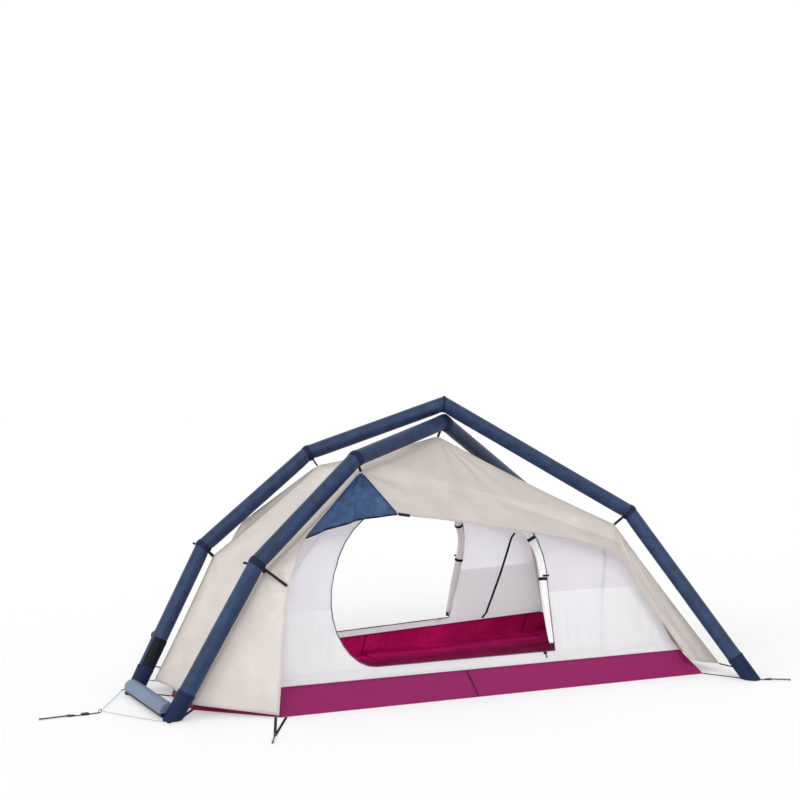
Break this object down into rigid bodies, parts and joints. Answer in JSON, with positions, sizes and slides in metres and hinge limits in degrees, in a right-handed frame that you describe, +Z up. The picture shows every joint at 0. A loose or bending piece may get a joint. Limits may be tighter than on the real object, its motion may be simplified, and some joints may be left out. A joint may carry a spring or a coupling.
{
  "type": "inflatable tent",
  "caption": "Low ridge tent carried by crossed air-filled arches, with a hung fly, an inner tent with a door on each side, and a groundsheet tray.",
  "frame": {"origin": "underside of the groundsheet, on the tent's centre line, halfway along its straight sides", "axes": "+X towards the wide head end, +Z up, -Y towards the side the picture is taken from"},
  "size_m": [3.2068, 1.9058, 1.3086],
  "materials": {
    "navy_fabric": "woven sleeve fabric with a slight sheen",
    "pale_coated_fabric": "coated fabric, satin",
    "boot_fabric": "heavy coated fabric",
    "bladder_film": "clear flexible film",
    "black_webbing": "woven webbing, matt",
    "black_plastic": "moulded, satin",
    "fly_fabric": "coated tent cloth, matt",
    "vent_fabric": "coated tent cloth, matt",
    "inner_fabric": "fine netting with plain cloth below",
    "tray_fabric": "coated groundsheet cloth, satin",
    "guy_cord": "braided cord",
    "peg_metal": "dark anodised"
  },
  "bodies": {
    "tent": {"arch_a_sleeve_1": "navy_fabric", "arch_a_sleeve_2": "navy_fabric", "arch_a_sleeve_3": "navy_fabric", "arch_a_sleeve_4": "navy_fabric", "arch_a_sleeve_5": "navy_fabric", "arch_a_bladder": "bladder_film", "arch_b_sleeve_1": "navy_fabric", "arch_b_sleeve_2": "navy_fabric", "arch_b_sleeve_3": "navy_fabric", "arch_b_sleeve_4": "navy_fabric", "arch_b_sleeve_5": "navy_fabric", "arch_b_bladder": "bladder_film", "foot_tube": "pale_coated_fabric", "boot_left_near": "boot_fabric", "boot_left_far": "boot_fabric", "boot_right_near": "boot_fabric", "boot_right_far": "boot_fabric", "band_crossing": "black_webbing", "band_low_near": "black_webbing", "band_low_far": "black_webbing", "band_high_near": "black_webbing", "band_high_far": "black_webbing", "band_right_near": "black_webbing", "band_right_far": "black_webbing", "valve_body": "black_plastic", "fly_end_left": "fly_fabric", "fly_end_right": "fly_fabric", "fly_awning_near": "fly_fabric", "fly_side_near": "fly_fabric", "fly_vent_near": "vent_fabric", "inner_wall_near": "inner_fabric", "rolled_door_near": "inner_fabric", "inner_strap_near": "black_webbing", "corner_strap_near": "black_webbing", "peg_loop_near": "black_webbing", "fly_awning_far": "fly_fabric", "fly_side_far": "fly_fabric", "fly_vent_far": "vent_fabric", "inner_wall_far": "inner_fabric", "rolled_door_far": "inner_fabric", "inner_strap_far": "black_webbing", "corner_strap_far": "black_webbing", "peg_loop_far": "black_webbing", "inner_end_left": "inner_fabric", "inner_end_right": "inner_fabric", "groundsheet_tray": "tray_fabric", "guy_cord": "guy_cord", "guy_strap": "black_webbing"},
    "door_toggle_far_body": {"door_toggle_far": "black_plastic"},
    "door_toggle_near_body": {"door_toggle_near": "black_plastic"},
    "guy_tensioner_body": {"guy_tensioner": "black_plastic"},
    "peg_far_body": {"peg_far": "peg_metal"},
    "peg_guy_body": {"peg_guy": "peg_metal"},
    "peg_near_body": {"peg_near": "peg_metal"},
    "peg_right_far_body": {"peg_right_far": "peg_metal"},
    "peg_right_near_body": {"peg_right_near": "peg_metal"},
    "valve_cap_body": {"valve_cap": "black_plastic"},
    "zip_slider_far_body": {"zip_slider_far": "black_plastic"},
    "zip_slider_near_body": {"zip_slider_near": "black_plastic"}
  },
  "joints": [
    {"name": "valve_cap_hinge", "type": "hinge", "parent": "tent", "child": "valve_cap_body", "pos_m": [-1.30757, 0.32956, 0.25692], "axis": [0.8525, 0.174, -0.4929], "range_deg": [0, 180]},
    {"name": "door_toggle_near_turn", "type": "hinge", "parent": "tent", "child": "door_toggle_near_body", "pos_m": [0.30792, -0.39575, 0.48267], "axis": [0.0065, -0.9726, 0.2326], "range_deg": [-90, 90]},
    {"name": "zip_slider_near_slide", "type": "slide", "parent": "tent", "child": "zip_slider_near_body", "axis": [-0.9947, 0.1029, 0], "range_m": [0, 0.8]},
    {"name": "peg_near_slide", "type": "slide", "parent": "tent", "child": "peg_near_body", "axis": [-0.4743, -0.8804, 0], "range_m": [-0.095, 0.12]},
    {"name": "peg_right_near_slide", "type": "slide", "parent": "tent", "child": "peg_right_near_body", "axis": [0.8049, -0.5934, 0], "range_m": [-0.012, 0.12]},
    {"name": "door_toggle_far_turn", "type": "hinge", "parent": "tent", "child": "door_toggle_far_body", "pos_m": [0.30792, 0.39575, 0.48267], "axis": [0.0065, 0.9726, 0.2326], "range_deg": [-90, 90]},
    {"name": "zip_slider_far_slide", "type": "slide", "parent": "tent", "child": "zip_slider_far_body", "axis": [-0.9947, -0.1029, 0], "range_m": [0, 0.8]},
    {"name": "peg_far_slide", "type": "slide", "parent": "tent", "child": "peg_far_body", "axis": [-0.4743, 0.8804, 0], "range_m": [-0.095, 0.12]},
    {"name": "peg_right_far_slide", "type": "slide", "parent": "tent", "child": "peg_right_far_body", "axis": [0.8049, 0.5934, 0], "range_m": [-0.012, 0.12]},
    {"name": "peg_guy_slide", "type": "slide", "parent": "tent", "child": "peg_guy_body", "axis": [-1, 0, 0], "range_m": [0, 0.12]},
    {"name": "guy_tensioner_slide", "type": "slide", "parent": "tent", "child": "guy_tensioner_body", "axis": [1, 0, 0], "range_m": [-0.023, 0.039]}
  ]
}
